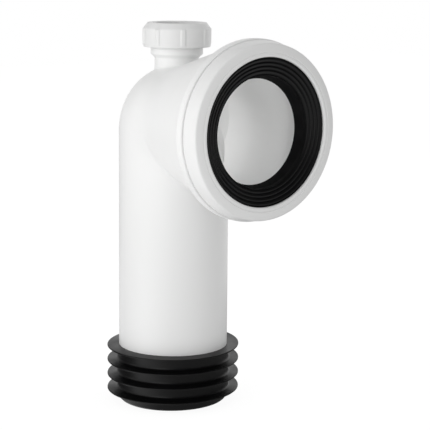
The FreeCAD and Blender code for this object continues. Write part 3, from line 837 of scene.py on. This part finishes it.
first_valley = BEAD - RIDGE_MARGIN
last_valley = THROAT + RIDGE_MARGIN
ridge_outline = [(first_valley, dished(first_valley) - RIDGE_RISE)]
for step in range(1, RIDGE_STEPS + 1):
    share = step / RIDGE_STEPS
    radius = first_valley - RIDGE_PITCH * share
    swell = RIDGE_RISE * math.sin(math.pi * share) ** RIDGE_FULLNESS if step < RIDGE_STEPS else 0.0
    ridge_outline.append((radius, dished(radius) - RIDGE_RISE + swell))
seal_outline = soften([
    (last_valley, dished(last_valley) - RIDGE_RISE, 0.0),
    (THROAT + 0.25, THROAT_FRONT, 0.2),
    (THROAT, THROAT_FRONT - 0.4, 0.2),
    (THROAT, SLEEVE_NECK, 3.0),
    (THROAT - SLEEVE_TAPER, SLEEVE_MOUTH, 2.0),
    (THROAT - SLEEVE_TAPER, SLEEVE_END, 0.5),
    (THROAT - SLEEVE_TAPER + SLEEVE_WALL, SLEEVE_END, 0.5),
    (THROAT - SLEEVE_TAPER + SLEEVE_WALL, SLEEVE_MOUTH, 2.0),
    (THROAT + SLEEVE_WALL, SLEEVE_NECK, 2.0),
    (THROAT + SLEEVE_SHOULDER, THROAT_FRONT - SLEEVE_SHOULDER, 1.0),
    (RIM_FOOT, RIM_BACK, 0.3),
    (RIM, RIM_BACK, 0.5),
    (RIM, RIM_FRONT, 0.5),
    (BEAD, RIM_FRONT, 0.1),
    (BEAD, BEAD_FRONT, 0.5),
    (first_valley, dished(first_valley) - RIDGE_RISE, 0.0),
])
pan_finish = make_rubber_finish("black_pan_rubber", SOCKET_LEVEL * MM, gloss=0.19, Roughness=0.34,
                                dull=(DULL_START * MM, DULL_END * MM))
pan_collar = start_piece("pan_collar", wire_mesh("pan_outline", seal_outline, ridge_outline))
run_tree(pan_collar, turned, pan_finish, Count=RIDGE_COUNT, Step=(-RIDGE_PITCH * MM, 0.0, -RIDGE_FALL * MM),
         Steps_Round=STEPS_ROUND)
for point in pan_collar.data.vertices:
    slack = SAG_START - math.hypot(point.co.x, point.co.y) / MM
    point.co.y -= THROAT_SAG * MM * min(max(slack / SAG_RUN, 0.0), 1.0)
to_socket = Matrix.Translation((0.0, 0.0, SOCKET_LEVEL * MM)) @ Matrix.Rotation(math.radians(90.0), 4, "X")
pan_collar.data.transform(to_socket)
close_up(pan_collar)
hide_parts("inlet_seal")
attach(pan_collar, "connector")


# Retaining ring: a cap in the same white polypropylene, snapped over the socket's nose to clamp the pan seal.
# Its face falls back a little outwards, and a fine groove sets off the rounded bead round its opening.

RING_BACK = 105.0
RING_WALL = 69.5
RING_BORE = 65.8
SEAM_RADIUS = 68.3
SEAM_FRONT = RING_BACK + 1.3
RING_SHOULDER = 67.7
SHOULDER_FRONT = 118.9
OPENING = 57.3
FACE_GROOVE = 60.7
GROOVE_HALF = 0.5
GROOVE_DEPTH = 0.75
# The ring's white and its mark tone are darker copies of the bend's: painted shade, which dims the ring where
# the lamps light it more.
RING_WHITE_PAINTED_SHADE = (0.82, 0.822, 0.82, 1.0)
RING_MARK_TONE_PAINTED_SHADE = (0.76, 0.76, 0.75, 1.0)

ring_outline = soften([
    (RING_BORE, RING_BACK + 4.0, 0.0),
    (RING_BORE, RING_BACK, 0.2),
    (SEAM_RADIUS, RING_BACK, 0.2),
    (SEAM_RADIUS, SEAM_FRONT, 0.2),
    (RING_WALL, SEAM_FRONT, 0.4),
    (RING_SHOULDER, SHOULDER_FRONT, 2.0),
    (FACE_GROOVE + GROOVE_HALF, RING_FRONT - 0.35, 0.3),
    (FACE_GROOVE, RING_FRONT - GROOVE_DEPTH, 0.25),
    (FACE_GROOVE - GROOVE_HALF, RING_FRONT - 0.3, 0.3),
    (OPENING + 1.2, RING_FRONT, 1.6),
    (OPENING, RING_FRONT - 0.9, 0.8),
    (OPENING, RIM_FRONT, 0.2),
    (RING_BORE, RIM_FRONT, 0.3),
])
# The ring's finish takes these darker copies of the white, so its colour carries painted shade.
ring_finish = make_moulded_finish("white_ring", RING_WHITE_PAINTED_SHADE, RING_MARK_TONE_PAINTED_SHADE, Roughness=0.36, Marks=0.6)
clamp_ring = start_piece("clamp_ring", wire_mesh("ring_outline", ring_outline))
run_tree(clamp_ring, turned, ring_finish, Count=0, Steps_Round=STEPS_ROUND)
clamp_ring.data.transform(to_socket)
close_up(clamp_ring, edge_angle=50.0)
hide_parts("retaining_ring")
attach(clamp_ring, "connector")


# Compression nut: a white cap that screws on the boss. It has a bevelled top, eight straight ribs with soft
# flanks for the hand, and a coarse round-topped thread inside.

BOSS_PLACE = -3.4
NUT_BASE = 293.5
NUT_TOP = 313.0
NUT_WALL = 27.3
NUT_BEVEL = 3.4
NUT_BORE = 22.7
NUT_LEAD = 0.6
CEILING = 310.0
HOLE = 18.6
WALL_START = NUT_BASE + 6.0
WALL_ROW = 0.5
THREAD_ROW = 0.22
NUT_STEPS = 480
RIB_COUNT = 8
RIB_TURN = math.radians(19.5)
RIB_RISE = 0.8
RIB_CREST = 2.6
RIB_FOOT = 4.8
RIB_TOP = 308.5
RIB_HIGH = RIB_TOP + 0.6
RIB_ENDS = 1.2
OUTER_SHARE = 0.94
THREAD_PITCH = 3.0
THREAD_DEPTH = 0.85
THREAD_FULLNESS = 0.75
THREAD_RUN_OUT = 1.2
THREAD_REACH_IN = 0.3
THREAD_REACH_OUT = 0.4
NUT_THREAD_LOW = NUT_BASE - 1.5
NUT_THREAD_HIGH = CEILING - 1.5
# The nut's white and its mark tone are darker copies of the bend's: painted shade, which dims the nut where
# the lamps light it more than the bend.
NUT_WHITE_PAINTED_SHADE = (0.795, 0.797, 0.795, 1.0)
NUT_MARK_TONE_PAINTED_SHADE = (0.735, 0.735, 0.725, 1.0)


def push_out(tree, given, x, y, radius, rise):
    """Ends a tree that moves each point away from the axis by the rise."""
    grow = add_math(tree, "DIVIDE", rise, radius)
    push = join_axes(tree, x=add_math(tree, "MULTIPLY", x, grow), y=add_math(tree, "MULTIPLY", y, grow))
    moved = add_node(tree, "GeometryNodeSetPosition", {"Geometry": given["Piece"], "Offset": push})
    return end_tree(tree, moved.outputs[0], given["Finish"])


def ribbed_tree():
    """Raises straight ribs round a turned wall: sloped flanks, a flat crest, and rounded ends."""
    tree, given = start_tree("ribbed_wall", Count="Int", Turn="Float", Wall="Float", Rise="Float",
                             Crest="Float", Foot="Float", Low="Float", High="Float", Ends="Float")
    x, y, z, radius, turn = polar_place(tree)

    # distance round the wall to the middle of the nearest rib
    pitch = add_math(tree, "DIVIDE", math.tau, given["Count"])
    turn = add_math(tree, "SUBTRACT", turn, given["Turn"])
    nearest = add_math(tree, "ROUND", add_math(tree, "DIVIDE", turn, pitch))
    aside = add_math(tree, "SUBTRACT", turn, add_math(tree, "MULTIPLY", nearest, pitch))
    aside = add_math(tree, "MULTIPLY", add_math(tree, "ABSOLUTE", aside), given["Wall"])

    half_foot = add_math(tree, "MULTIPLY", given["Foot"], 0.5)
    half_crest = add_math(tree, "MULTIPLY", given["Crest"], 0.5)
    across = add_range(tree, aside, half_foot, half_crest)
    low = add_ramp(tree, z, given["Low"], add_math(tree, "ADD", given["Low"], given["Ends"]))
    high = add_ramp(tree, z, given["High"], add_math(tree, "SUBTRACT", given["High"], given["Ends"]))
    outer = add_math(tree, "GREATER_THAN", radius, add_math(tree, "MULTIPLY", given["Wall"], OUTER_SHARE))
    rise = add_math(tree, "MULTIPLY", add_math(tree, "MULTIPLY", across, low), high)
    rise = add_math(tree, "MULTIPLY", add_math(tree, "MULTIPLY", rise, outer), given["Rise"])
    return push_out(tree, given, x, y, radius, rise)


def threaded_tree():
    """Raises a helical ridge on the points of a turned wall within a band of radius and height."""
    tree, given = start_tree("threaded_wall", Pitch="Float", Depth="Float", Inner="Float", Outer="Float",
                             Start="Float", End="Float", Run_Out="Float")
    x, y, z, radius, turn = polar_place(tree)
    turns = add_math(tree, "DIVIDE", z, given["Pitch"])
    wound = add_math(tree, "SUBTRACT", add_math(tree, "MULTIPLY", turns, math.tau), turn)
    wave = add_math(tree, "COSINE", wound)
    ridge = add_math(tree, "MULTIPLY_ADD", wave, THREAD_FULLNESS, 0.5, clamp=True)
    band = add_math(tree, "MULTIPLY", add_math(tree, "GREATER_THAN", radius, given["Inner"]),
                    add_math(tree, "LESS_THAN", radius, given["Outer"]))
    start = add_range(tree, z, given["Start"], add_math(tree, "ADD", given["Start"], given["Run Out"]))
    end = add_range(tree, z, given["End"], add_math(tree, "SUBTRACT", given["End"], given["Run Out"]))
    share = add_math(tree, "MULTIPLY", add_math(tree, "MULTIPLY", ridge, band),
                     add_math(tree, "MULTIPLY", start, end))
    return push_out(tree, given, x, y, radius, add_math(tree, "MULTIPLY", share, given["Depth"]))


def rows_between(radius, start, end, spacing):
    """Points up a wall, a spacing apart, without its two ends."""
    count = max(2, round(abs(end - start) / spacing))
    return [(radius, start + (end - start) * n / count, 0.0) for n in range(1, count)]


threaded = threaded_tree()
nut_outline = soften(
    [(NUT_WALL, WALL_START, 0.0)]
    + rows_between(NUT_WALL, WALL_START, RIB_TOP - 2.0, WALL_ROW)
    + [
        (NUT_WALL, RIB_TOP, 2.0),
        (NUT_WALL - NUT_BEVEL, NUT_TOP, 0.7),
        (HOLE + 0.8, NUT_TOP, 0.35),
        (HOLE, NUT_TOP - 0.8, 0.3),
        (HOLE, CEILING, 0.2),
        (NUT_BORE, CEILING, 0.4),
    ]
    + rows_between(NUT_BORE, CEILING - 1.0, NUT_BASE + 2 * NUT_LEAD, THREAD_ROW)
    + [
        (NUT_BORE, NUT_BASE + NUT_LEAD, 0.2),
        (NUT_BORE + NUT_LEAD, NUT_BASE, 0.3),
        (NUT_WALL, NUT_BASE, 1.8),
    ]
    + rows_between(NUT_WALL, NUT_BASE + 2.0, WALL_START, WALL_ROW)
)
# The nut's finish takes these darker copies of the white, so its colour carries painted shade.
nut_finish = make_moulded_finish("white_nut", NUT_WHITE_PAINTED_SHADE, NUT_MARK_TONE_PAINTED_SHADE, Roughness=0.4, Marks=1.0)
screw_cap = start_piece("screw_cap", wire_mesh("nut_outline", nut_outline))
run_tree(screw_cap, turned, nut_finish, Count=0, Steps_Round=NUT_STEPS)
run_tree(screw_cap, ribbed_tree(), nut_finish, Count=RIB_COUNT, Turn=RIB_TURN, Wall=NUT_WALL * MM,
         Rise=RIB_RISE * MM, Crest=RIB_CREST * MM, Foot=RIB_FOOT * MM, Low=(NUT_BASE + RIB_ENDS) * MM,
         High=RIB_HIGH * MM, Ends=RIB_ENDS * MM)
run_tree(screw_cap, threaded, nut_finish, Pitch=THREAD_PITCH * MM, Depth=THREAD_DEPTH * MM,
         Inner=(NUT_BORE - THREAD_REACH_IN) * MM, Outer=(NUT_BORE + THREAD_REACH_OUT) * MM,
         Start=NUT_THREAD_LOW * MM, End=NUT_THREAD_HIGH * MM, Run_Out=THREAD_RUN_OUT * MM)
to_boss = Matrix.Translation((0.0, BOSS_PLACE * MM, 0.0))
screw_cap.data.transform(to_boss)
close_up(screw_cap)
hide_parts("compression_nut")
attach(screw_cap, "nut")


# Boss thread: the outside thread is part of the bend's moulding. Its ridge stands on the boss's plain wall
# and runs out at both ends.

THREAD_WALL = 22.4
THREAD_FACE = THREAD_WALL - 0.05
THREAD_ROOT = THREAD_WALL - 0.6
THREAD_LOW = 294.7
THREAD_HIGH = 303.7
BOSS_ROW = 0.2
BOSS_REACH = 0.3
BOSS_RUN_OUT = 1.0
thread_outline = [
    (THREAD_ROOT, THREAD_LOW + 4.0),
    (THREAD_ROOT, THREAD_LOW),
    (THREAD_FACE, THREAD_LOW),
    *((across, up) for across, up, _ in rows_between(THREAD_FACE, THREAD_LOW, THREAD_HIGH, BOSS_ROW)),
    (THREAD_FACE, THREAD_HIGH),
    (THREAD_ROOT, THREAD_HIGH),
]
boss_thread = start_piece("boss_thread", wire_mesh("thread_outline", thread_outline))
run_tree(boss_thread, turned, bend_finish, Count=0, Steps_Round=STEPS_ROUND)
run_tree(boss_thread, threaded, bend_finish, Pitch=THREAD_PITCH * MM, Depth=THREAD_DEPTH * MM,
         Inner=(THREAD_WALL - BOSS_REACH) * MM, Outer=(THREAD_WALL + BOSS_REACH) * MM,
         Start=THREAD_LOW * MM, End=THREAD_HIGH * MM, Run_Out=BOSS_RUN_OUT * MM)
boss_thread.data.transform(to_boss)
close_up(boss_thread)
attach(boss_thread, "connector")


# Slip washer: a thin flat ring in white polypropylene, laid between the nut's top and the packing. It lets
# the nut turn without twisting the packing. The imported solid is shown.

# The washer takes the nut's darker copies of the white, with their painted shade.
washer_finish = make_moulded_finish("white_washer", NUT_WHITE_PAINTED_SHADE, NUT_MARK_TONE_PAINTED_SHADE, Roughness=0.45, Marks=0.4)
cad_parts["slip_washer"].material_slots[0].material = washer_finish


# Packing: a ring of black rubber in the mouth of the boss, with soft corners and a tapered foot. The nut
# presses it round the waste pipe by way of the washer.

PACKING_LOW = 304.5
PACKING_HIGH = 308.2
PACKING_TOE = PACKING_LOW - 2.1
PACKING_RADIUS = 21.6
PACKING_FOOT = 20.5
PACKING_BORE = 18.4
PACKING_STEPS = 120
packing_outline = soften([
    (PACKING_RADIUS, PACKING_LOW + 1.8, 0.0),
    (PACKING_RADIUS, PACKING_HIGH, 0.5),
    (PACKING_BORE, PACKING_HIGH, 0.5),
    (PACKING_BORE, PACKING_TOE, 0.3),
    (PACKING_FOOT, PACKING_LOW, 0.4),
    (PACKING_RADIUS, PACKING_LOW, 0.3),
    (PACKING_RADIUS, PACKING_LOW + 1.7, 0.0),
])
packing_finish = make_rubber_finish("black_packing_rubber", Roughness=0.4)
packing_ring = start_piece("packing_ring", wire_mesh("packing_outline", packing_outline))
run_tree(packing_ring, turned, packing_finish, Count=0, Steps_Round=PACKING_STEPS)
packing_ring.data.transform(to_boss)
close_up(packing_ring)
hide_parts("compression_seal")
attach(packing_ring, "connector")
